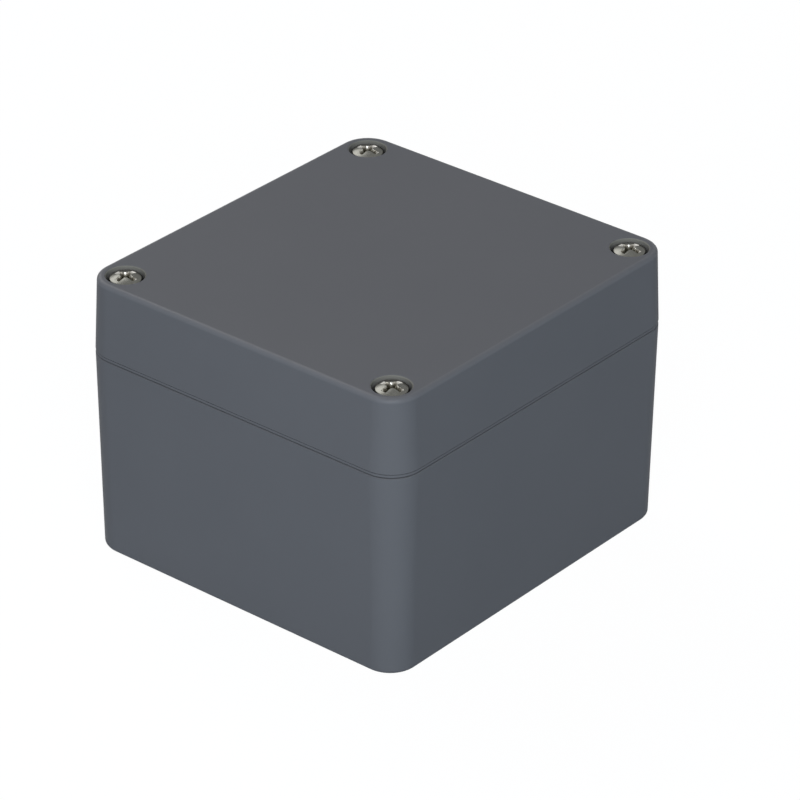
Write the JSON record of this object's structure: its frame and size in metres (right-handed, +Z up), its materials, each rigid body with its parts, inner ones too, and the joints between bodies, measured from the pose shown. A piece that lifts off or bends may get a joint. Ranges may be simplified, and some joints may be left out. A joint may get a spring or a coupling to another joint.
{
  "type": "sealed plastic enclosure",
  "caption": "Sealed rectangular plastic enclosure with a deep base, a lift-off lid held by captive corner screws, a gasket, wall fixing holes and threaded floor inserts.",
  "frame": {"origin": "centre of the underside, on the surface that the box rests on or is fixed to", "axes": "+Z up through the lid, +X along the long side, +Y along the short side"},
  "size_m": [0.08, 0.075, 0.0566],
  "materials": {
    "enclosure_plastic": "satin moulded, dark grey",
    "gasket_rubber": "soft black",
    "screw_steel": "bright stainless, cold formed",
    "insert_brass": "turned and knurled",
    "retainer_nylon": "natural nylon"
  },
  "bodies": {
    "base": {"base": "enclosure_plastic", "screw_insert_1": "insert_brass", "screw_insert_2": "insert_brass", "screw_insert_3": "insert_brass", "screw_insert_4": "insert_brass", "floor_insert_1": "insert_brass", "floor_insert_2": "insert_brass", "floor_insert_3": "insert_brass", "floor_insert_4": "insert_brass"},
    "lid": {"lid": "enclosure_plastic", "gasket": "gasket_rubber"},
    "retainer_1": {"screw_retainer_1": "retainer_nylon"},
    "screw_1": {"lid_screw_1": "screw_steel"},
    "retainer_2": {"screw_retainer_2": "retainer_nylon"},
    "screw_2": {"lid_screw_2": "screw_steel"},
    "retainer_3": {"screw_retainer_3": "retainer_nylon"},
    "screw_3": {"lid_screw_3": "screw_steel"},
    "retainer_4": {"screw_retainer_4": "retainer_nylon"},
    "screw_4": {"lid_screw_4": "screw_steel"}
  },
  "joints": [
    {"name": "lid_lift", "type": "slide", "parent": "base", "child": "lid", "axis": [0, 0, 1], "range_m": [0, 0.06]},
    {"name": "screw_1_rise", "type": "slide", "parent": "lid", "child": "retainer_1", "axis": [0, 0, 1], "range_m": [0, 0.0065]},
    {"name": "screw_1_turn", "type": "hinge", "parent": "retainer_1", "child": "screw_1", "pos_m": [-0.034, -0.0315, 0.0542], "axis": [0, 0, 1], "range_deg": [0, 4752]},
    {"name": "screw_2_rise", "type": "slide", "parent": "lid", "child": "retainer_2", "axis": [0, 0, 1], "range_m": [0, 0.0065]},
    {"name": "screw_2_turn", "type": "hinge", "parent": "retainer_2", "child": "screw_2", "pos_m": [-0.034, 0.0315, 0.0542], "axis": [0, 0, 1], "range_deg": [0, 4752]},
    {"name": "screw_3_rise", "type": "slide", "parent": "lid", "child": "retainer_3", "axis": [0, 0, 1], "range_m": [0, 0.0065]},
    {"name": "screw_3_turn", "type": "hinge", "parent": "retainer_3", "child": "screw_3", "pos_m": [0.034, -0.0315, 0.0542], "axis": [0, 0, 1], "range_deg": [0, 4752]},
    {"name": "screw_4_rise", "type": "slide", "parent": "lid", "child": "retainer_4", "axis": [0, 0, 1], "range_m": [0, 0.0065]},
    {"name": "screw_4_turn", "type": "hinge", "parent": "retainer_4", "child": "screw_4", "pos_m": [0.034, 0.0315, 0.0542], "axis": [0, 0, 1], "range_deg": [0, 4752]}
  ],
  "couplings": [
    {"joint": "screw_1_turn", "follows": "screw_1_rise", "rad_per_m": 12566},
    {"joint": "screw_2_turn", "follows": "screw_2_rise", "rad_per_m": 12566},
    {"joint": "screw_3_turn", "follows": "screw_3_rise", "rad_per_m": 12566},
    {"joint": "screw_4_turn", "follows": "screw_4_rise", "rad_per_m": 12566}
  ]
}
